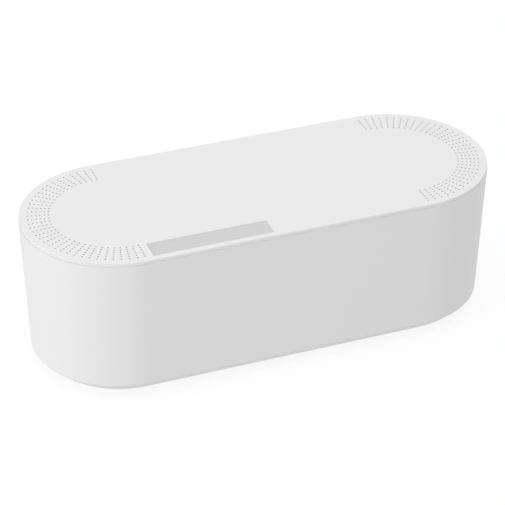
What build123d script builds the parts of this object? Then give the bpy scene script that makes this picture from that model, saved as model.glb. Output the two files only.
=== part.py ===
from build123d import *
import os
from math import atan2, cos, hypot, radians, sin, tan

# Cable management box: a drafted obround tub that hides a power strip and its cables, a
# lift-off lid with vents over both round ends, and four rubber feet. Millimetres, +Z up, the
# length along X, the front towards -Y, the origin on the ground under the middle of the box.

# Overall form. Seen from above the box is an obround: two half rounds and two straight sides.
END_CENTRES = 250.0         # between the centres of the two round ends
END_RADIUS = 82.5           # of a round end at the rim, which makes the box 165 wide
OVERALL_HEIGHT = 135.0      # ground to lid top

# Tub
DRAFT = 2.05                # degrees that the walls lean outwards on their way up
WALL = 2.8
BEVEL_WIDTH = 10.9          # of the sloped lower edge, measured inwards
BEVEL_HEIGHT = 10.5
BEVEL_ROUND = 1.5           # on both of the bevel's outer corners
RIM_ROUND = 0.1
SHADOW_GAP = 0.12           # height of the thin dark line under the lid
SHADOW_GAP_DEPTH = 1.0

# Lid
LID_THICKNESS = 3.0
LID_INSET = 0.5             # how far the lid's edge stands in from the edge of the rim
LID_TOP_ROUND = 0.3
LID_LOWER_ROUND = 0.15
SKIRT_DEPTH = 8.0           # how far the locating skirt reaches down into the tub
SKIRT_WALL = 1.8
SKIRT_CLEARANCE = 0.35      # between the skirt's lower end and the wall beside it
RIB_WALL = 1.2
RIB_DEPTH = 4.0
CROSS_RIBS = 4
LONG_RIB_SPREAD = 66.0      # between the two lengthwise ribs
RIB_TO_VENTS = 4.0          # from the vents' last rows to the outermost cross ribs

# Vents: straight rows of round holes that fan out round each end
VENT_ROWS = 37              # over the half turn, the first and last across the box
VENTS_IN_ROW = 6
VENT_RADIUS = 0.8
VENT_PITCH = 3.5            # from hole to hole along a row
VENT_EDGE = 7.3             # from the outermost holes' centres to the lid's edge

# Bare recess for a label, beside the left vents along the front edge
RECESS_LENGTH = 104.5
RECESS_WIDTH = 19.7
RECESS_DEPTH = 0.8
RECESS_TO_EDGE = 5.4
RECESS_TO_VENTS = 6.5       # from the centre line of the vents' last row

# Cable openings
NOTCH_WIDTH = 60.0          # rear notches, open at the rim and closed by the lid
NOTCH_DEPTH = 26.0
NOTCH_ROUND = 9.0
NOTCH_TO_END = 8.0          # from a notch to where the straight rear wall ends
NOTCH_SIDE_CLEARANCE = 2.0  # the skirt stops this far beside each notch
SLOT_LENGTH = 76.0          # base slots, long enough for a plug
SLOT_WIDTH = 46.0
SLOT_ROUND = 12.0
SLOT_PAST_END = 14.0        # how far a slot reaches past a round end's centre
OPENING_EDGE_ROUND = 0.8    # softens every edge that a cable rubs on

# Feet
FOOT_RADIUS = 8.0
FOOT_STANDOFF = 1.4         # the air under the tub
FOOT_SOCKET_DEPTH = 1.0
FOOT_SOCKET_CLEARANCE = 0.15
FOOT_INSET = 15.0           # from a foot's centre to the edge of the flat base
FOOT_ANGLE = 60.0           # degrees round the end from the box's long axis
FOOT_ROUND = 0.4

NEAR = 0.01                 # two heights or radii this close count as the same

# Heights and radii that follow. A radius counts from the box's spine, the line that joins the
# two end centres, so a half section drawn once serves the straight sides and the round ends.
base_z = FOOT_STANDOFF
rim_z = OVERALL_HEIGHT - LID_THICKNESS
bevel_top_z = base_z + BEVEL_HEIGHT
lean = tan(radians(DRAFT))
wall_foot_radius = END_RADIUS - (rim_z - bevel_top_z) * lean
base_radius = wall_foot_radius - BEVEL_WIDTH
rim_inner_radius = END_RADIUS - WALL / cos(radians(DRAFT))
lid_radius = END_RADIUS - LID_INSET
skirt_foot_z = rim_z - SKIRT_DEPTH
skirt_radius = rim_inner_radius - SKIRT_DEPTH * lean - SKIRT_CLEARANCE


def half_section(points, rounds):
    """A closed outline of (radius, height) points, with rounds given as (point, radius)."""
    face = make_face(Polyline(*points, close=True))
    for spot, radius in rounds:
        corner = face.vertices().sort_by_distance((*spot, 0))[0]
        face = fillet(corner, radius)
    return face


def carry_round(face):
    """Carries a half section once round the obround: along both sides and round both ends."""
    end = Plane(origin=(END_CENTRES / 2, 0, 0), x_dir=(0, -1, 0), z_dir=(-1, 0, 0))
    side = end * face
    axis = Axis((END_CENTRES / 2, 0, 0), (0, 0, 1))
    half = extrude(side, amount=END_CENTRES) + revolve(side, axis=axis, revolution_arc=180)
    return half + Rot(0, 0, 180) * half


def inner_corner(before, corner, after, thickness):
    """The inner corner of a wall whose outer face runs through three points."""
    turns = []
    for start, stop in ((before, corner), (corner, after)):
        angle = atan2(stop[1] - start[1], stop[0] - start[0])
        turns.append((-sin(angle), cos(angle)))
    (ax, ay), (bx, by) = turns
    reach = thickness / (1 + ax * bx + ay * by)
    return (corner[0] + reach * (ax + bx), corner[1] + reach * (ay + by))


def both_ends(shape):
    """The shape and its mirror image at the box's other end."""
    return shape + mirror(shape, about=Plane.YZ)


def tub_shell():
    """Floor, bevel and drafted wall as one section, with the rim stepped for the shadow gap."""
    outer = [(0, base_z), (base_radius, base_z), (wall_foot_radius, bevel_top_z)]
    rim_outer = (END_RADIUS, rim_z)
    floor_corner = inner_corner(outer[0], outer[1], outer[2], WALL)
    wall_corner = inner_corner(outer[1], outer[2], rim_outer, WALL)
    lip = (END_RADIUS - SHADOW_GAP * lean, rim_z - SHADOW_GAP)
    land_radius = END_RADIUS - SHADOW_GAP_DEPTH
    rim = [lip, (land_radius, lip[1]), (land_radius, rim_z), (rim_inner_radius, rim_z)]
    inner = [wall_corner, floor_corner, (0, base_z + WALL)]
    rounds = [(corner, BEVEL_ROUND) for corner in outer[1:]]
    rounds += [(corner, BEVEL_ROUND + WALL) for corner in (wall_corner, floor_corner)]
    return carry_round(half_section(outer + rim + inner, rounds))


def notch_cutter(side_room, depth, corner_round):
    """The two rear notches as solids that reach from the spine out through the rear wall."""
    width = NOTCH_WIDTH + 2 * side_room
    centre_x = END_CENTRES / 2 - NOTCH_TO_END - NOTCH_WIDTH / 2
    above = OVERALL_HEIGHT - rim_z
    opening = Rectangle(width, depth + above, align=(Align.CENTER, Align.MIN))
    opening = fillet(opening.vertices().group_by(Axis.Y)[0], corner_round)
    upright = Plane(origin=(centre_x, 0, rim_z - depth), x_dir=(-1, 0, 0), z_dir=(0, 1, 0))
    return both_ends(extrude(upright * opening, amount=END_RADIUS + WALL))


def slot_cutter():
    """The two base slots as solids through the floor."""
    centre_x = END_CENTRES / 2 + SLOT_PAST_END - SLOT_LENGTH / 2
    opening = Pos(centre_x, 0, 0) * RectangleRounded(SLOT_LENGTH, SLOT_WIDTH, SLOT_ROUND)
    return both_ends(extrude(opening, amount=base_z + 2 * WALL))


def foot_places():
    """Name and centre of each foot, on the flat base inside each quarter of the plan."""
    reach = base_radius - FOOT_INSET
    x = END_CENTRES / 2 + reach * cos(radians(FOOT_ANGLE))
    y = reach * sin(radians(FOOT_ANGLE))
    places = {}
    for depth_name, y_side in (("front", -1), ("rear", 1)):
        for side_name, x_side in (("left", -1), ("right", 1)):
            places[f"foot_{depth_name}_{side_name}"] = (x_side * x, y_side * y)
    return places


def spine_radius(edge):
    """How far the middle of an edge is from the spine, seen from above."""
    middle = edge.position_at(0.5)
    return hypot(max(abs(middle.X) - END_CENTRES / 2, 0), middle.Y)


def rim_edges(tub):
    """The rim's outermost edges, on the shadow step, and its innermost, on the land."""
    land_radius = END_RADIUS - SHADOW_GAP_DEPTH
    inner_limit = rim_inner_radius + OPENING_EDGE_ROUND / 2
    step_z = rim_z - SHADOW_GAP
    step = tub.edges().filter_by_position(Axis.Z, step_z - NEAR, step_z + NEAR)
    land = tub.edges().filter_by_position(Axis.Z, rim_z - NEAR, rim_z + NEAR)
    outermost = step.filter_by(lambda edge: spine_radius(edge) > land_radius + NEAR)
    innermost = land.filter_by(lambda edge: spine_radius(edge) < inner_limit)
    return outermost + innermost


def make_tub():
    """The shell with its cable openings, rounded edges and foot sockets."""
    shell = tub_shell()
    notches = notch_cutter(0, NOTCH_DEPTH, NOTCH_ROUND)
    slots = slot_cutter()
    tub = shell - notches - slots
    cut_edges = new_edges(shell, notches, slots, combined=tub)
    tub = fillet(cut_edges.filter_by(lambda edge: edge.length > WALL), OPENING_EDGE_ROUND)
    tub = fillet(rim_edges(tub), RIM_ROUND)
    socket_radius = FOOT_RADIUS + FOOT_SOCKET_CLEARANCE
    for x, y in foot_places().values():
        tub -= Pos(x, y, base_z) * Cylinder(socket_radius, 2 * FOOT_SOCKET_DEPTH)
    return tub


def lid_plate():
    """The flat plate that lies on the rim."""
    top = (lid_radius, OVERALL_HEIGHT)
    under = (lid_radius, rim_z)
    outline = [(0, rim_z), under, top, (0, OVERALL_HEIGHT)]
    return carry_round(half_section(outline, [(top, LID_TOP_ROUND), (under, LID_LOWER_ROUND)]))


def lid_skirt():
    """The locating skirt under the plate, cut away over the rear notches."""
    inner_radius = skirt_radius - SKIRT_WALL
    foot = [(inner_radius, skirt_foot_z), (skirt_radius, skirt_foot_z)]
    outline = foot + [(skirt_radius, rim_z), (inner_radius, rim_z)]
    skirt = carry_round(half_section(outline, [(foot[1], SKIRT_WALL / 3)]))
    return skirt - notch_cutter(NOTCH_SIDE_CLEARANCE, SKIRT_DEPTH, SKIRT_WALL)


def lid_ribs():
    """Stiffening ribs under the plain middle of the plate, joined to the skirt."""
    outermost_x = END_CENTRES / 2 - RIB_TO_VENTS
    across = 2 * skirt_radius - SKIRT_WALL
    top = (Align.CENTER, Align.CENTER, Align.MAX)
    ribs = []
    for i in range(CROSS_RIBS):
        x = outermost_x * (2 * i / (CROSS_RIBS - 1) - 1)
        ribs.append(Pos(x, 0, rim_z) * Box(RIB_WALL, across, RIB_DEPTH, align=top))
    for y in (-LONG_RIB_SPREAD / 2, LONG_RIB_SPREAD / 2):
        ribs.append(Pos(0, y, rim_z) * Box(2 * outermost_x, RIB_WALL, RIB_DEPTH, align=top))
    return ribs


def vent_cutter():
    """Every vent hole of both ends, as one group of upright cylinders through the plate."""
    holes = []
    for ring in range(VENTS_IN_ROW):
        ring_radius = lid_radius - VENT_EDGE - ring * VENT_PITCH
        places = PolarLocations(ring_radius, VENT_ROWS, -90, 180, endpoint=True)
        holes += [Pos(END_CENTRES / 2, 0) * place * Circle(VENT_RADIUS) for place in places]
    end = extrude(Plane.XY.offset(rim_z) * (Sketch() + holes), amount=LID_THICKNESS)
    return both_ends(end)


def recess_cutter():
    """The shallow rectangular label recess, which stays bare."""
    left = -END_CENTRES / 2 + RECESS_TO_VENTS
    front = -lid_radius + RECESS_TO_EDGE
    corner = (Align.MIN, Align.MIN, Align.MAX)
    block = Box(RECESS_LENGTH, RECESS_WIDTH, 2 * RECESS_DEPTH, align=corner)
    return Pos(left, front, OVERALL_HEIGHT + RECESS_DEPTH) * block


def make_lid():
    lid = lid_plate() + lid_skirt() + lid_ribs()
    return lid - recess_cutter() - vent_cutter()


def make_foot(x, y):
    """A rubber disc, seated on the floor of its socket."""
    height = FOOT_STANDOFF + FOOT_SOCKET_DEPTH
    disc = Cylinder(FOOT_RADIUS, height, align=(Align.CENTER, Align.CENTER, Align.MIN))
    disc = fillet(disc.edges().group_by(Axis.Z)[0], FOOT_ROUND)
    return Pos(x, y, 0) * disc


os.makedirs("parts", exist_ok=True)
nodes = {"tub": make_tub(), "lid": make_lid()}
for name, (x, y) in foot_places().items():
    nodes[name] = make_foot(x, y)
for name, shape in nodes.items():
    export_step(shape, f"parts/{name}.step")
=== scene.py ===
# %% [markdown]
# # A cable management box
# The real object is a long white box that hides a power strip. It is two plastic mouldings, a tub
# and a lid that lifts off, and it stands on four rubber feet. The construction model already holds
# every piece at its real size, so this lesson loads it as a fixed frame and then models each
# piece again as a clean mesh, with the small rounds, marks and finishes that make it look real.

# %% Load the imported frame
from math import atan2, cos, pi, radians, sin, tan

import bmesh
import bpy
from mathutils import Euler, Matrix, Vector


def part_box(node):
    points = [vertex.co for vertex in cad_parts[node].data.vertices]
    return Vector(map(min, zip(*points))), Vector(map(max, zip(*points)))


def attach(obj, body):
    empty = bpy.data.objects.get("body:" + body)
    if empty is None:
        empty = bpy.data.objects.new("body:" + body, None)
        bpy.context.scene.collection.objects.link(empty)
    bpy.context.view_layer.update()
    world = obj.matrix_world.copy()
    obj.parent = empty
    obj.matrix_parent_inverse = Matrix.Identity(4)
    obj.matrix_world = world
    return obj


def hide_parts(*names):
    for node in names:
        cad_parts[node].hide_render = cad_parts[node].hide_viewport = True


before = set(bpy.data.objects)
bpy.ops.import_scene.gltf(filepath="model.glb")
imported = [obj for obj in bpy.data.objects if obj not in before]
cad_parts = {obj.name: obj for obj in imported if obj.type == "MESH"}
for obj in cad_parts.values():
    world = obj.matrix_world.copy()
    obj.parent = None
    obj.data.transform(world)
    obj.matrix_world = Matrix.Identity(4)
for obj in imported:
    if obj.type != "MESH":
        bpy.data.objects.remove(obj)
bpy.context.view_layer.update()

# %% [markdown]
# ## Sizes
# Everything is in metres. Seen from above the box is an obround, which is two half rounds joined
# by straight sides. The line between the two round centres is its spine, and a radius below is
# always a distance from that spine. The heights are read from the frame, so that each mesh lands
# on its construction piece, and the other lengths repeat the ones that the pieces were built with.

# %% Sizes read from the frame, and the moulding's own
MM = 0.001
END_CENTRES = 250 * MM
END_RADIUS = 82.5 * MM
WALL = 2.8 * MM
DRAFT = radians(2.05)
BEVEL_WIDTH = 10.9 * MM
BEVEL_HEIGHT = 10.5 * MM
BEVEL_ROUND = 1.5 * MM
RIM_ROUND = 0.1 * MM
SHADOW_GAP = 0.12 * MM
SHADOW_GAP_DEPTH = 1.0 * MM

lid_low, lid_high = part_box("lid")
tub_low, tub_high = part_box("tub")
foot_low, foot_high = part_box("foot_front_left")
end_x = END_CENTRES / 2
base_z = tub_low.z
rim_z = tub_high.z
top_z = lid_high.z
skirt_z = lid_low.z
print("length", round(2 * (end_x + END_RADIUS), 4), "height", round(top_z, 4))

# %% [markdown]
# ## Draw a section
# Both mouldings have the same cross-section all the way round, so drawing it once is enough. It
# is a wire of (radius, height) points at the right end of the front side. A curve could hold it
# too, but a wire keeps each corner exactly where it is put, and a vertex bevel turns the corners
# that are round on the real box into arcs.

# %% Helpers that draw a section
def draw_wire(bm, places):
    """An open wire through those places."""
    verts = [bm.verts.new(place) for place in places]
    for start, stop in zip(verts, verts[1:]):
        bm.edges.new((start, stop))
    return verts


def round_corner(bm, vert, radius, segments):
    """Rounds a corner of a wire with an arc of that radius."""
    ways = [edge.other_vert(vert).co - vert.co for edge in vert.link_edges]
    turn = pi - ways[0].angle(ways[1])
    bmesh.ops.bevel(
        bm, geom=[vert], offset=radius * tan(turn / 2), offset_type="OFFSET", segments=segments,
        profile=0.5, affect="VERTICES", material=-1)


def draw_section(points, rounds):
    """A wire section. rounds maps the number of a point to its (radius, segments)."""
    bm = bmesh.new()
    verts = draw_wire(bm, [(end_x, -radius, height) for radius, height in points])
    for number, (radius, segments) in rounds.items():
        round_corner(bm, verts[number], radius, segments)
    return bm


# %% [markdown]
# ## Carry it round
# The section then travels once round the box. A shape could also be lofted between two outlines,
# but a section that travels keeps the wall's thickness exact. Extruding its edges makes a straight
# side and spinning them makes a round end, so two of each close the obround.

# %% Helpers that carry a section round
MERGE = 0.001 * MM
FLAT_ANGLE = radians(0.2)
END_STEPS = 72


def edges_of(geometry):
    return [item for item in geometry if isinstance(item, bmesh.types.BMEdge)]


def verts_of(geometry):
    return [item for item in geometry if isinstance(item, bmesh.types.BMVert)]


def carry_round(bm):
    """Carries the section along the front, round the left end, along the rear and back."""
    leading = list(bm.edges)
    for side in (-1, 1):
        made = bmesh.ops.extrude_edge_only(bm, edges=leading)["geom"]
        bmesh.ops.translate(bm, verts=verts_of(made), vec=(2 * side * end_x, 0, 0))
        leading = edges_of(made)
        ends = list(dict.fromkeys(vert for edge in leading for vert in edge.verts))
        made = bmesh.ops.spin(
            bm, geom=ends + leading, cent=(side * end_x, 0, 0), axis=(0, 0, 1), angle=-pi,
            steps=END_STEPS)
        leading = edges_of(made["geom_last"])
    bmesh.ops.remove_doubles(bm, verts=bm.verts, dist=MERGE)
    bmesh.ops.dissolve_degenerate(bm, edges=bm.edges, dist=MERGE)
    bmesh.ops.recalc_face_normals(bm, faces=bm.faces)


def flatten(bm):
    """Joins neighbouring faces that lie in one plane, so that a flat is a single face."""
    bmesh.ops.dissolve_limit(
        bm, angle_limit=FLAT_ANGLE, use_dissolve_boundaries=False, verts=bm.verts,
        edges=bm.edges, delimit=set())


# %% [markdown]
# ## The tub
# The tub is an open moulding, 2.8 mm thick. Its walls lean out by two degrees, which lets the
# mould open, and its lower edge is cut away by a bevel. The section runs from the spine along the
# underside, up the outside, over the rim and down the inside. The rim has a tiny step on its
# outside: under the lid it leaves the thin dark line that shows where the two mouldings meet.

# %% Draw the tub's section and carry it round
lean = tan(DRAFT)
bevel_top_z = base_z + BEVEL_HEIGHT
wall_foot = END_RADIUS - (rim_z - bevel_top_z) * lean
base_radius = wall_foot - BEVEL_WIDTH
rim_inner = END_RADIUS - WALL / cos(DRAFT)
step_radius = END_RADIUS - SHADOW_GAP_DEPTH
step_z = rim_z - SHADOW_GAP
floor_z = base_z + WALL


def inner_corner(before, corner, after, thickness):
    """The inner corner of a wall whose outer face runs through three points."""
    normals = []
    for start, stop in ((before, corner), (corner, after)):
        angle = atan2(stop[1] - start[1], stop[0] - start[0])
        normals.append(Vector((-sin(angle), cos(angle))))
    reach = thickness / (1 + normals[0].dot(normals[1]))
    return tuple(Vector(corner) + reach * (normals[0] + normals[1]))


def new_piece(name, bm):
    """Turns a bmesh into an object at the origin."""
    mesh = bpy.data.meshes.new(name)
    bm.to_mesh(mesh)
    bm.free()
    piece = bpy.data.objects.new(name, mesh)
    bpy.context.scene.collection.objects.link(piece)
    return piece


underside = [(0, base_z), (base_radius, base_z), (wall_foot, bevel_top_z)]
inner_wall = inner_corner(underside[1], underside[2], (END_RADIUS, rim_z), WALL)
inner_floor = inner_corner(underside[0], underside[1], underside[2], WALL)
rim = [(END_RADIUS - SHADOW_GAP * lean, step_z), (step_radius, step_z), (step_radius, rim_z)]
rim += [(rim_inner, rim_z)]
tub_points = underside + rim + [inner_wall, inner_floor, (0, floor_z)]
tub_rounds = {1: (BEVEL_ROUND, 4), 2: (BEVEL_ROUND, 4), 3: (RIM_ROUND, 3), 6: (RIM_ROUND, 3)}
tub_rounds |= {7: (BEVEL_ROUND + WALL, 5), 8: (BEVEL_ROUND + WALL, 5)}

tub_mesh = draw_section(tub_points, tub_rounds)
carry_round(tub_mesh)
flatten(tub_mesh)
print("tub shell faces:", len(tub_mesh.faces))
tub = new_piece("tub_moulding", tub_mesh)

# %% [markdown]
# ## Cut openings
# Holes are cut with cutter shapes and the Boolean modifier's exact solver, which keeps the flat
# faces flat. The modifier is applied at once, so that each finished piece is a plain mesh at the
# origin. Cutters of one kind share one mesh, because one cut of many holes is much faster than
# many cuts of one hole.

# %% Helpers that cut and join
def merge_doubles(mesh):
    """Merges the points that a cut leaves on top of each other."""
    bm = bmesh.new()
    bm.from_mesh(mesh)
    bmesh.ops.remove_doubles(bm, verts=bm.verts, dist=MERGE)
    bmesh.ops.dissolve_degenerate(bm, edges=bm.edges, dist=MERGE)
    bm.to_mesh(mesh)
    bm.free()


def combine(piece, other, operation):
    """Cuts the other shape from a piece, or joins it on, and deletes the other shape."""
    step = piece.modifiers.new("combine", "BOOLEAN")
    step.operation = operation
    step.solver = "EXACT"
    step.object = other
    shapes = bpy.context.evaluated_depsgraph_get()
    mesh = bpy.data.meshes.new_from_object(piece.evaluated_get(shapes))
    merge_doubles(mesh)
    piece.modifiers.clear()
    old = piece.data
    piece.data = mesh
    mesh.name = piece.name
    bpy.data.meshes.remove(old)
    bpy.data.objects.remove(other)


# %% [markdown]
# ## Cable openings
# Cables leave the real box through two notches at the top of the rear wall, which the lid closes,
# and through two slots in the floor. Each cutter is a block whose upright or lower corners are
# bevelled into rounds.

# %% Cut the rear notches and the base slots
NOTCH_WIDTH = 60 * MM
NOTCH_DEPTH = 26 * MM
NOTCH_ROUND = 9 * MM
NOTCH_TO_END = 8 * MM
NOTCH_SIDE_CLEARANCE = 2 * MM
SLOT_LENGTH = 76 * MM
SLOT_WIDTH = 46 * MM
SLOT_ROUND = 12 * MM
SLOT_PAST_END = 14 * MM
PARALLEL = 0.99
notch_x = end_x - NOTCH_TO_END - NOTCH_WIDTH / 2
slot_x = end_x + SLOT_PAST_END - SLOT_LENGTH / 2


def middle(edge):
    return (edge.verts[0].co + edge.verts[1].co) / 2


def block(bm, low, high):
    """A block between two opposite corners."""
    low = Vector(low)
    high = Vector(high)
    made = bmesh.ops.create_cube(bm, size=1)["verts"]
    bmesh.ops.scale(bm, verts=made, vec=high - low)
    bmesh.ops.translate(bm, verts=made, vec=(low + high) / 2)
    return made


def bevel_edges_along(bm, verts, axis, radius, segments, wanted=lambda edge: True):
    """Rounds a block's edges that run along one axis, 0 for X, 1 for Y and 2 for Z."""
    along = []
    for edge in dict.fromkeys(edge for vert in verts for edge in vert.link_edges):
        way = (edge.verts[1].co - edge.verts[0].co).normalized()
        if abs(way[axis]) > PARALLEL and wanted(edge):
            along.append(edge)
    bmesh.ops.bevel(
        bm, geom=along, offset=radius, offset_type="OFFSET", segments=segments, profile=0.5,
        affect="EDGES", material=-1)


cutter = bmesh.new()
for side in (-1, 1):
    low = (side * notch_x - NOTCH_WIDTH / 2, END_RADIUS / 2, rim_z - NOTCH_DEPTH)
    high = (side * notch_x + NOTCH_WIDTH / 2, END_RADIUS + WALL, rim_z + WALL)
    notch = block(cutter, low, high)
    bevel_edges_along(
        cutter, notch, axis=1, radius=NOTCH_ROUND, segments=10,
        wanted=lambda edge: middle(edge).z < rim_z)
    low = (side * slot_x - SLOT_LENGTH / 2, -SLOT_WIDTH / 2, 0)
    high = (side * slot_x + SLOT_LENGTH / 2, SLOT_WIDTH / 2, base_z + 2 * WALL)
    slot = block(cutter, low, high)
    bevel_edges_along(cutter, slot, axis=2, radius=SLOT_ROUND, segments=10)
combine(tub, new_piece("openings", cutter), "DIFFERENCE")
print("tub faces with openings:", len(tub.data.polygons))

# %% [markdown]
# ## Soften the edges that a cable rubs on
# A sharp edge would wear a cable, so on the real box the edges of every opening are rounded. They
# are rounded after the cut, because only then do they exist. A small function picks them by where
# they lie and by how sharply the surface turns there.

# %% Round the edges of the notches and slots
OPENING_ROUND = 0.8 * MM
CORNER_ANGLE = radians(60)


def is_corner(edge):
    """True where the surface turns by more than the corner angle."""
    return edge.calc_face_angle(0) > CORNER_ANGLE


def round_edges(piece, chosen, radius, segments):
    """Rounds the edges that the function chosen picks."""
    bm = bmesh.new()
    bm.from_mesh(piece.data)
    edges = [edge for edge in bm.edges if len(edge.link_faces) == 2 and chosen(edge)]
    bmesh.ops.bevel(
        bm, geom=edges, offset=radius, offset_type="OFFSET", segments=segments, profile=0.5,
        affect="EDGES", clamp_overlap=True, material=-1)
    bm.to_mesh(piece.data)
    bm.free()
    print(piece.name, "rounded edges:", len(edges))


def rubs_a_cable(edge):
    """True for the long edges round the notches and slots, on both sides of the wall."""
    spot = middle(edge)
    over_slot = abs(abs(spot.x) - slot_x) < SLOT_LENGTH / 2 + MERGE
    in_slot = over_slot and abs(spot.y) < SLOT_WIDTH / 2 + MERGE and spot.z < base_z + 2 * WALL
    over_notch = abs(abs(spot.x) - notch_x) < NOTCH_WIDTH / 2 + MERGE
    below_rim = rim_z - NOTCH_DEPTH - WALL < spot.z < step_z - SHADOW_GAP
    in_notch = over_notch and below_rim and spot.y > END_RADIUS / 2
    return is_corner(edge) and (in_slot or in_notch)


round_edges(tub, rubs_a_cable, OPENING_ROUND, segments=4)

# %% [markdown]
# ## Marks of the mould
# A moulding keeps small marks on the sides that nobody sees: round ejector pins press shallow
# discs into the inside, and the plastic enters at a gate under the base. The tub's base also has
# a round socket for each foot. All are short cylinders that are cut away.

# %% Cut the sockets, the gate and the tub's pin marks
PIN_RADIUS = 4 * MM
PIN_DEPTH = 0.15 * MM
GATE_RADIUS = 6 * MM
GATE_DEPTH = 0.5 * MM
FOOT_SOCKET_CLEARANCE = 0.15 * MM
TUB_PINS_ALONG = (-1.2, -0.35, 0.35, 1.2)
TUB_PINS_ACROSS = (-0.5, 0.5)
foot_centre = (foot_low + foot_high) / 2
foot_radius = (foot_high.x - foot_low.x) / 2
socket_radius = foot_radius + FOOT_SOCKET_CLEARANCE


def disc(bm, x, y, low_z, high_z, radius, segments):
    """An upright cylinder, for cutting a round recess."""
    made = bmesh.ops.create_cone(
        bm, cap_ends=True, segments=segments, radius1=radius, radius2=radius,
        depth=high_z - low_z)["verts"]
    bmesh.ops.translate(bm, verts=made, vec=(x, y, (low_z + high_z) / 2))


def pin_discs(bm, along, across, low_z, high_z):
    """Discs at those shares of the spine's half length and of the half width."""
    for x_share in along:
        for y_share in across:
            x = x_share * end_x
            disc(bm, x, y_share * END_RADIUS, low_z, high_z, PIN_RADIUS, segments=24)


cutter = bmesh.new()
for x in (foot_centre.x, -foot_centre.x):
    for y in (foot_centre.y, -foot_centre.y):
        disc(cutter, x, y, base_z - WALL, foot_high.z, socket_radius, segments=48)
disc(cutter, 0, 0, base_z - WALL, base_z + GATE_DEPTH, GATE_RADIUS, segments=32)
pin_discs(cutter, TUB_PINS_ALONG, TUB_PINS_ACROSS, floor_z - PIN_DEPTH, floor_z + WALL)
combine(tub, new_piece("tub_marks", cutter), "DIFFERENCE")
print("tub faces:", len(tub.data.polygons))

# %% [markdown]
# ## The lid
# The lid is a flat plate that lies on the rim, half a millimetre in from its edge, and small
# rounds break its sharp corners. Underneath, a skirt drops into the tub and keeps the lid in
# place. Plate and skirt are one section, carried round as the tub's was.

# %% Draw the lid's section and carry it round
SKIRT_WALL = 1.8 * MM
SKIRT_EDGE_ROUND = SKIRT_WALL / 3
SKIRT_CLEARANCE = 0.35 * MM
LID_INSET = 0.5 * MM
LID_TOP_ROUND = 0.3 * MM
LID_LOWER_ROUND = 0.15 * MM

skirt_outer = rim_inner - (rim_z - skirt_z) * lean - SKIRT_CLEARANCE
skirt_inner = skirt_outer - SKIRT_WALL
lid_radius = END_RADIUS - LID_INSET
lid_points = [(0, rim_z), (skirt_inner, rim_z), (skirt_inner, skirt_z), (skirt_outer, skirt_z)]
lid_points += [(skirt_outer, rim_z), (lid_radius, rim_z), (lid_radius, top_z)]
lid_points += [(0, top_z)]
lid_rounds = {3: (SKIRT_EDGE_ROUND, 3), 5: (LID_LOWER_ROUND, 3), 6: (LID_TOP_ROUND, 6)}
lid_mesh = draw_section(lid_points, lid_rounds)
carry_round(lid_mesh)
print("lid shell faces:", len(lid_mesh.faces))
lid = new_piece("lid_moulding", lid_mesh)

# %% [markdown]
# ## Under the lid
# A few thin ribs keep the plate flat. Each is a plain block that bites a little way into what it
# touches, so that a union can join it on. The skirt is then cut away over the rear notches, to
# leave room for cables.

# %% Add the ribs and cut the skirt's gaps
RIB_WALL = 1.2 * MM
RIB_DEPTH = 4 * MM
CROSS_RIBS = 4
LONG_RIB_SPREAD = 66 * MM
RIB_TO_VENTS = 4 * MM
BITE = 0.4 * MM

ribs = bmesh.new()
outermost_x = end_x - RIB_TO_VENTS
reach = skirt_inner + BITE
for number in range(CROSS_RIBS):
    x = outermost_x * (2 * number / (CROSS_RIBS - 1) - 1)
    low = (x - RIB_WALL / 2, -reach, rim_z - RIB_DEPTH)
    block(ribs, low, (x + RIB_WALL / 2, reach, rim_z + BITE))
combine(lid, new_piece("cross_ribs", ribs), "UNION")
ribs = bmesh.new()
for y in (-LONG_RIB_SPREAD / 2, LONG_RIB_SPREAD / 2):
    low = (-outermost_x, y - RIB_WALL / 2, rim_z - RIB_DEPTH)
    block(ribs, low, (outermost_x, y + RIB_WALL / 2, rim_z + BITE))
combine(lid, new_piece("long_ribs", ribs), "UNION")

cutter = bmesh.new()
for side in (-1, 1):
    half = NOTCH_WIDTH / 2 + NOTCH_SIDE_CLEARANCE
    low = (side * notch_x - half, skirt_inner - WALL, skirt_z - WALL)
    block(cutter, low, (side * notch_x + half, skirt_outer + BITE, rim_z))
combine(lid, new_piece("skirt_gaps", cutter), "DIFFERENCE")
print("lid faces with ribs:", len(lid.data.polygons))

# %% [markdown]
# ## Label recess
# A shallow pocket near the front edge takes a label, and here it stays bare. The upright edges of
# the cutter are bevelled, which gives the pocket a small round in each corner.

# %% Cut the label recess
RECESS_LENGTH = 104.5 * MM
RECESS_WIDTH = 19.7 * MM
RECESS_DEPTH = 0.8 * MM
RECESS_TO_EDGE = 5.4 * MM
RECESS_TO_VENTS = 6.5 * MM
RECESS_CORNER_ROUND = 0.5 * MM
recess_x = -end_x + RECESS_TO_VENTS
recess_y = -lid_radius + RECESS_TO_EDGE
recess_z = top_z - RECESS_DEPTH

cutter = bmesh.new()
high = (recess_x + RECESS_LENGTH, recess_y + RECESS_WIDTH, top_z + RECESS_DEPTH)
pocket = block(cutter, (recess_x, recess_y, recess_z), high)
bevel_edges_along(cutter, pocket, axis=2, radius=RECESS_CORNER_ROUND, segments=4)
combine(lid, new_piece("label_recess", cutter), "DIFFERENCE")
print("lid faces with recess:", len(lid.data.polygons))

# %% [markdown]
# ## Vents
# Warm air leaves through small round holes in straight rows that fan out round both ends. One pin
# with a slightly flared head is modelled first. It is copied along the row, the row is spun round
# the end in steps of five degrees, and the set is mirrored, so one cut makes every hole with a
# softened mouth.

# %% Model the pins and cut the vents
VENT_ROWS = 37
VENTS_IN_ROW = 6
VENT_RADIUS = 0.8 * MM
VENT_LIP = 0.06 * MM
VENT_PITCH = 3.5 * MM
VENT_EDGE = 7.3 * MM


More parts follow.
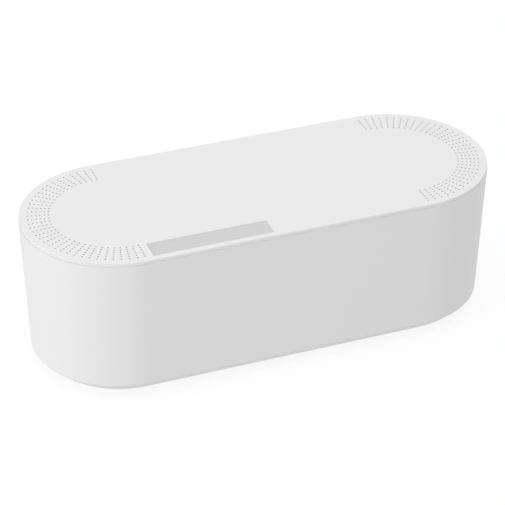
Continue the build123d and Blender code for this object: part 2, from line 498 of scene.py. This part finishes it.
def spin_once_round(bm, x, y, steps):
    """Spins the wire once round an upright axis and closes the shape."""
    bmesh.ops.spin(
        bm, geom=bm.verts[:] + bm.edges[:], cent=(x, y, 0), axis=(0, 0, 1), angle=2 * pi,
        steps=steps, use_merge=True)
    bmesh.ops.remove_doubles(bm, verts=bm.verts, dist=MERGE)
    bmesh.ops.recalc_face_normals(bm, faces=bm.faces)


def vent_pins():
    """One pin for every vent of both ends."""
    bm = bmesh.new()
    ring_y = VENT_EDGE - lid_radius
    below_z = rim_z - WALL
    above_z = top_z + WALL
    head = VENT_RADIUS + VENT_LIP
    outline = [(0, below_z), (VENT_RADIUS, below_z), (VENT_RADIUS, top_z - VENT_LIP)]
    outline += [(head, top_z), (head, above_z), (0, above_z)]
    draw_wire(bm, [(end_x + radius, ring_y, height) for radius, height in outline])
    spin_once_round(bm, end_x, ring_y, steps=16)
    pin = bm.verts[:] + bm.edges[:] + bm.faces[:]
    for number in range(1, VENTS_IN_ROW):
        made = bmesh.ops.duplicate(bm, geom=pin)["geom"]
        bmesh.ops.translate(bm, verts=verts_of(made), vec=(0, number * VENT_PITCH, 0))
    row = bm.verts[:] + bm.edges[:] + bm.faces[:]
    bmesh.ops.spin(
        bm, geom=row, cent=(end_x, 0, 0), axis=(0, 0, 1), angle=pi, steps=VENT_ROWS - 1,
        use_duplicate=True)
    fan = bm.verts[:] + bm.edges[:] + bm.faces[:]
    bmesh.ops.mirror(bm, geom=fan, axis="X", merge_dist=0)
    bmesh.ops.recalc_face_normals(bm, faces=bm.faces)
    return bm


combine(lid, new_piece("vents", vent_pins()), "DIFFERENCE")
print("vents:", 2 * VENT_ROWS * VENTS_IN_ROW, "lid faces:", len(lid.data.polygons))

# %% [markdown]
# ## Finish the lid's mesh
# The lid's underside has its own pin marks, between the ribs. The mouth of the recess is rounded
# last, by a hair, so that it catches the light as a moulded edge does.

# %% Cut the lid's pin marks and round the recess's mouth
LID_PINS_ALONG = (-0.75, 0, 0.75)
LID_PINS_ACROSS = (-0.65, 0, 0.65)
RECESS_MOUTH_ROUND = 0.15 * MM

cutter = bmesh.new()
pin_discs(cutter, LID_PINS_ALONG, LID_PINS_ACROSS, rim_z - WALL, rim_z + PIN_DEPTH)
combine(lid, new_piece("lid_marks", cutter), "DIFFERENCE")
print("lid faces:", len(lid.data.polygons))


def in_recess(spot, height):
    """True for a spot at that height inside the recess's outline or on it."""
    inside_x = recess_x - MERGE < spot.x < recess_x + RECESS_LENGTH + MERGE
    inside_y = recess_y - MERGE < spot.y < recess_y + RECESS_WIDTH + MERGE
    return inside_x and inside_y and abs(spot.z - height) < MERGE


def rims_recess(edge):
    """True for the edges round the mouth of the label recess."""
    return is_corner(edge) and in_recess(middle(edge), top_z)


round_edges(lid, rims_recess, RECESS_MOUTH_ROUND, segments=2)

# %% [markdown]
# ## Rubber feet
# Each foot is a soft disc that sits in a socket of the base. Two shallow rings in its underside
# help it grip. A section spun once round its own axis makes the whole foot.

# %% Spin the feet
FOOT_ROUND = 0.4 * MM
GROOVE_SHARES = (0.35, 0.65)
GROOVE_DEPTH = 0.3 * MM
GROOVE_WIDTH = 0.7 * MM


def rubber_foot(name, x, y):
    """A foot at that place, from the ground up to its seat in the socket."""
    bm = bmesh.new()
    outline = [(0, 0)]
    for share in GROOVE_SHARES:
        near = share * foot_radius
        far = near + GROOVE_WIDTH
        outline += [(near, 0), (near, GROOVE_DEPTH), (far, GROOVE_DEPTH), (far, 0)]
    corner = len(outline)
    outline += [(foot_radius, 0), (foot_radius, foot_high.z), (0, foot_high.z)]
    verts = draw_wire(bm, [(x, y - radius, height) for radius, height in outline])
    round_corner(bm, verts[corner], FOOT_ROUND, segments=4)
    spin_once_round(bm, x, y, steps=48)
    return new_piece(name, bm)


feet = {}
for depth_name, y in (("front", foot_centre.y), ("rear", -foot_centre.y)):
    for side_name, x in (("left", foot_centre.x), ("right", -foot_centre.x)):
        node = f"foot_{depth_name}_{side_name}"
        feet[node] = rubber_foot(f"rubber_{node}", x, y)
print("feet:", len(feet))

# %% [markdown]
# ## Smooth shading
# Faces that meet at a shallow angle should look like one curve, and the others like an edge. Mesh
# data can hold that as sharp edges. A Weighted Normal modifier then lets the large flats keep
# their own direction, so that they don't shade darker towards a round.

# %% Shade the pieces
SMOOTH_ANGLE = radians(32)
LARGE_FACE_WEIGHT = 100


def shade(piece):
    """Smooths a piece, keeps the edges sharper than the angle, and weights its normals."""
    for face in piece.data.polygons:
        face.use_smooth = True
    piece.data.set_sharp_from_angle(angle=SMOOTH_ANGLE)
    weighted = piece.modifiers.new("flats keep flat", "WEIGHTED_NORMAL")
    weighted.keep_sharp = True
    weighted.weight = LARGE_FACE_WEIGHT
    print("shaded", piece.name)


for piece in (tub, lid, *feet.values()):
    shade(piece)

# %% [markdown]
# ## Shader arithmetic
# A finish is a small graph of nodes. Writing the graph's sums as Python expressions keeps them
# readable, so an output socket is wrapped in a class whose operators add Math nodes.

# %% A signal that works in Python arithmetic
class Signal:
    """An output socket that works in Python arithmetic."""

    def __init__(self, graph, socket):
        self.graph = graph
        self.socket = socket

    def maths(self, operation, first, second=0.0):
        return self.graph.add("ShaderNodeMath", {"operation": operation}, {0: first, 1: second})

    def __add__(self, other):
        return self.maths("ADD", self, other)

    def __sub__(self, other):
        return self.maths("SUBTRACT", self, other)

    def __rsub__(self, other):
        return self.maths("SUBTRACT", other, self)

    def __mul__(self, other):
        return self.maths("MULTIPLY", self, other)

    def __pow__(self, other):
        return self.maths("POWER", self, other)

    def __abs__(self):
        return self.maths("ABSOLUTE", self)

    __radd__ = __add__
    __rmul__ = __mul__

    def at_least(self, other):
        return self.maths("MAXIMUM", self, other)

    def part(self, name):
        """Another output of the same node."""
        return Signal(self.graph, self.socket.node.outputs[name])


# %% [markdown]
# ## Node graphs
# Every other node comes from one method, which sets the node's options first and its sockets
# afterwards, because an option can change which sockets a node has. The same class serves the
# materials and the world.

# %% A graph of nodes
class Graph:
    """The node graph of a material or a world, empty at first."""

    def __init__(self, holder):
        holder.use_nodes = True
        self.holder = holder
        self.tree = holder.node_tree
        self.tree.nodes.clear()

    def add(self, kind, options=None, inputs=None, output=0):
        """Adds a node, sets its options and then its sockets, and returns one output."""
        node = self.tree.nodes.new(kind)
        for name, value in (options or {}).items():
            setattr(node, name, value)
        for name, value in (inputs or {}).items():
            if isinstance(value, Signal):
                self.tree.links.new(value.socket, node.inputs[name])
            else:
                node.inputs[name].default_value = value
        return Signal(self, node.outputs[output])

    def noise(self, place, size, detail):
        """Soft noise whose features are about that size."""
        return self.add(
            "ShaderNodeTexNoise", {}, {"Vector": place, "Scale": 1 / size, "Detail": detail})

    def grey(self, value):
        """A neutral colour from one value."""
        return self.add(
            "ShaderNodeCombineColor", {}, {"Red": value, "Green": value, "Blue": value})

    def surface(self, shader, kind="ShaderNodeOutputMaterial"):
        """Joins the shader to the output and returns the finished material or world."""
        output = self.tree.nodes.new(kind)
        self.tree.links.new(shader.socket, output.inputs["Surface"])
        return self.holder


# %% [markdown]
# ## White moulded plastic
# The shells are white ABS with a satin skin, which a spark-eroded mould gives a very fine grain.
# Four small things keep it from looking like flat paint: the grain in the bump, a slow waviness
# under it, faint cloudy changes of gloss where hands have touched it, and an almost invisible
# drift of tone from the moulding. All of them read Object coordinates, so they stay put when the
# lid is lifted. The floor of the recess is etched, which makes it rougher and greyer.

# %% Mix the plastics
ABS_IOR = 1.53
COARSE_SHARE = 0.6
WAVE_SHARE = 1.5
WAVE_SIZE = 40 * MM
HANDLING_SIZE = 55 * MM
DRIFT_SIZE = 160 * MM
GLOSS_CHANGE = 0.14
TONE_CHANGE = 0.016


def moulded_plastic(name, tone, roughness, grain_size, grain_depth):
    """White plastic with a fine moulded grain. The tone is a grey value."""
    graph = Graph(bpy.data.materials.new(name))
    place = graph.add("ShaderNodeTexCoord", output="Object")
    fine = graph.noise(place, grain_size, detail=2.0)
    coarse = graph.noise(place, 3 * grain_size, detail=1.0)
    waves = graph.noise(place, WAVE_SIZE, detail=1.0)
    handling = graph.noise(place, HANDLING_SIZE, detail=5.0)
    drift = graph.noise(place, DRIFT_SIZE, detail=2.0)
    colour = graph.grey(tone * (drift * TONE_CHANGE + (1 - TONE_CHANGE / 2)))
    gloss = handling * GLOSS_CHANGE + (roughness - GLOSS_CHANGE / 2)
    relief = fine + coarse * COARSE_SHARE + waves * WAVE_SHARE
    bump = graph.add(
        "ShaderNodeBump", {}, {"Height": relief, "Strength": 0.6, "Distance": grain_depth})
    skin = graph.add(
        "ShaderNodeBsdfPrincipled", {},
        {"Base Color": colour, "Roughness": gloss, "Normal": bump, "IOR": ABS_IOR})
    return graph.surface(skin)


white = moulded_plastic(
    "white_abs", tone=0.80, roughness=0.60, grain_size=0.45 * MM, grain_depth=0.09 * MM)
etched_white = moulded_plastic(
    "white_abs_etched", tone=0.62, roughness=0.68, grain_size=0.3 * MM, grain_depth=0.12 * MM)
tub.data.materials.append(white)
lid.data.materials.append(white)
lid.data.materials.append(etched_white)
recess_faces = 0
for face in lid.data.polygons:
    face.material_index = int(in_recess(face.center, recess_z))
    recess_faces += face.material_index
print("etched faces:", recess_faces)

# %% [markdown]
# ## Rubber
# The feet are dark grey rubber. It is matt, with a coarse dull grain and a little dust that
# lightens it in patches.

# %% Mix the rubber
RUBBER_TONE = 0.095
DUST_TONE = 0.05


def soft_rubber():
    """Matt grey rubber with dust on it."""
    graph = Graph(bpy.data.materials.new("grey_rubber"))
    place = graph.add("ShaderNodeTexCoord", output="Object")
    dust = graph.noise(place, size=4 * MM, detail=4.0)
    grain = graph.noise(place, size=0.6 * MM, detail=3.0)
    bump = graph.add(
        "ShaderNodeBump", {}, {"Height": grain, "Strength": 0.5, "Distance": 0.05 * MM})
    colour = graph.grey(dust * DUST_TONE + RUBBER_TONE)
    skin = graph.add(
        "ShaderNodeBsdfPrincipled", {},
        {"Base Color": colour, "Roughness": 0.8, "Normal": bump})
    return graph.surface(skin)


rubber = soft_rubber()
for piece in feet.values():
    piece.data.materials.append(rubber)
print("finishes:", [finish.name for finish in (white, etched_white, rubber)])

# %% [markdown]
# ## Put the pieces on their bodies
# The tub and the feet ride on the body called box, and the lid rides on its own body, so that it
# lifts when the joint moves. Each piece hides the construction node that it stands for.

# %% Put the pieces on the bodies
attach(tub, "box")
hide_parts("tub")
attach(lid, "lid")
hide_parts("lid")
for node, piece in feet.items():
    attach(piece, "box")
    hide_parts(node)
print("pieces on bodies:", 2 + len(feet))

# %% [markdown]
# ## Floor
# The box stands in a white light tent: light comes evenly from all round, from below too, so the
# wall keeps one tone from top to foot. A floor that blocked that light would darken the foot, so
# this floor is seen by the camera and in reflections and takes no part in the lighting. It is
# partly matt, which lets it take the box's shadow, and partly glows white, which keeps the shadow
# faint. The glow stops under the box, where no light would reach. Far from the box the floor only
# glows, so that it melts into the white behind it, and from below it is clear, so that the
# underside can be looked at.

# %% Lay the floor
FLOOR_SIZE = 12.0
FLOOR_GAP = 0.02 * MM
FLOOR_GLOW = 1.03
SHADOW_SHARE = 0.25
SHADOW_REACH = 0.6
WHITE_LIGHT = (1, 1, 1, 1)
WHITE_PAINT = (0.98, 0.98, 0.98, 1)


def tent_floor():
    """A very large white floor just under the feet."""
    bm = bmesh.new()
    bmesh.ops.create_grid(bm, x_segments=1, y_segments=1, size=FLOOR_SIZE)
    bmesh.ops.translate(bm, verts=bm.verts, vec=(0, 0, -FLOOR_GAP))
    floor = new_piece("studio_floor", bm)
    graph = Graph(bpy.data.materials.new("floor_white"))
    place = graph.add("ShaderNodeTexCoord", output="Object")
    along = graph.add("ShaderNodeSeparateXYZ", {}, {"Vector": place}, output="X")
    across = along.part("Y")
    past_end = (abs(along) - end_x).at_least(0.0)
    from_spine = (past_end ** 2 + across ** 2) ** 0.5
    share = graph.add(
        "ShaderNodeMapRange", {"interpolation_type": "SMOOTHSTEP"},
        {"Value": from_spine, "From Min": base_radius / 2, "From Max": base_radius,
         "To Min": 1.0, "To Max": SHADOW_SHARE})
    nearness = graph.add(
        "ShaderNodeMapRange", {"interpolation_type": "SMOOTHSTEP"},
        {"Value": from_spine, "From Min": SHADOW_REACH, "From Max": 2 * SHADOW_REACH,
         "To Min": 1.0, "To Max": 0.0})
    matt = graph.add("ShaderNodeBsdfDiffuse", {}, {"Color": WHITE_PAINT})
    glow = graph.add("ShaderNodeEmission", {}, {"Color": WHITE_LIGHT, "Strength": FLOOR_GLOW})
    above = graph.add("ShaderNodeMixShader", {}, {0: share * nearness, 1: glow, 2: matt})
    from_below = graph.add("ShaderNodeNewGeometry", output="Backfacing")
    clear = graph.add("ShaderNodeBsdfTransparent")
    mixed = graph.add("ShaderNodeMixShader", {}, {0: from_below, 1: above, 2: clear})
    floor.data.materials.append(graph.surface(mixed))
    floor.visible_diffuse = False
    floor.visible_shadow = False
    return floor


floor = tent_floor()
print("stage:", floor.name)

# %% [markdown]
# ## Light tent
# The tent is the world: it is pure white where the camera or a reflection sees it, and it lights
# the box at about two thirds of that, a little more from the front right than from the rear left.

# %% Light the tent
TENT_LEVEL = 0.637
TENT_TILT = 0.055
TENT_BRIGHT_SIDE = (0.857, -0.516, 0)


def tent_world():
    """Light from all round, and white where it is seen."""
    graph = Graph(bpy.data.worlds.new("light_tent"))
    camera_sees = graph.add("ShaderNodeLightPath", output="Is Camera Ray")
    seen = camera_sees.at_least(camera_sees.part("Is Glossy Ray"))
    seen = seen.at_least(camera_sees.part("Is Transmission Ray"))
    direction = graph.add("ShaderNodeTexCoord", output="Generated")
    side = graph.add(
        "ShaderNodeVectorMath", {"operation": "DOT_PRODUCT"},
        {0: direction, 1: TENT_BRIGHT_SIDE}, output="Value")
    level = seen.at_least(side * TENT_TILT + TENT_LEVEL)
    light = graph.add("ShaderNodeBackground", {}, {"Color": WHITE_LIGHT, "Strength": level})
    return graph.surface(light, "ShaderNodeOutputWorld")


bpy.context.scene.world = tent_world()
print("world:", bpy.context.scene.world.name)

# %% [markdown]
# ## Lamps
# Light from all round shows no shape, so two soft lamps add some. The one overhead makes the lid
# brighter than the walls, and a broad one on the left turns the round end from bright to grey.
# Satin plastic that is seen at a low angle towards a lamp would show it as a burnt patch, so the
# lamps are hidden from reflections.

# %% Hang the lamps
def area_lamp(name, place, target, width, height, power):
    """A soft rectangular lamp that faces a target and isn't seen in reflections."""
    lamp = bpy.data.lights.new(name, "AREA")
    lamp.shape = "RECTANGLE"
    lamp.size = width
    lamp.size_y = height
    lamp.energy = power
    holder = bpy.data.objects.new(name, lamp)
    holder.location = place
    aim = Vector(target) - Vector(place)
    holder.rotation_euler = aim.to_track_quat("-Z", "Y").to_euler()
    holder.visible_glossy = False
    bpy.context.scene.collection.objects.link(holder)
    print("lamp", name, "of", power, "W")


area_lamp(
    "overhead", place=(0, 0, 2.6), target=(0, 0, 0.1), width=3.2, height=3.2, power=29.9)
area_lamp(
    "left_side", place=(-2.34, -0.72, 0.6), target=(0, 0, 0.07), width=1.8, height=1.1,
    power=23.5)

# %% [markdown]
# ## Camera
# The camera looks down on the front from a little to the left, through a long lens that keeps the
# far end almost as large as the near one. The Standard view transform shows colours as written.

# %% Place the camera
LENS_MM = 150.81
SENSOR_MM = 36.0
CAMERA_PLACE = (-0.55299, -1.45234, 1.04333)
CAMERA_AZIMUTH = radians(-20.685)
CAMERA_ELEVATION = radians(32.144)

camera_data = bpy.data.cameras.new("camera")
camera_data.lens = LENS_MM
camera_data.sensor_width = SENSOR_MM
camera = bpy.data.objects.new("camera", camera_data)
camera.location = CAMERA_PLACE
camera.rotation_euler = Euler((pi / 2 - CAMERA_ELEVATION, 0, CAMERA_AZIMUTH))
bpy.context.scene.collection.objects.link(camera)
bpy.context.scene.camera = camera
bpy.context.scene.view_settings.view_transform = "Standard"
print("camera", round(camera.location.length, 3), "m from the origin")
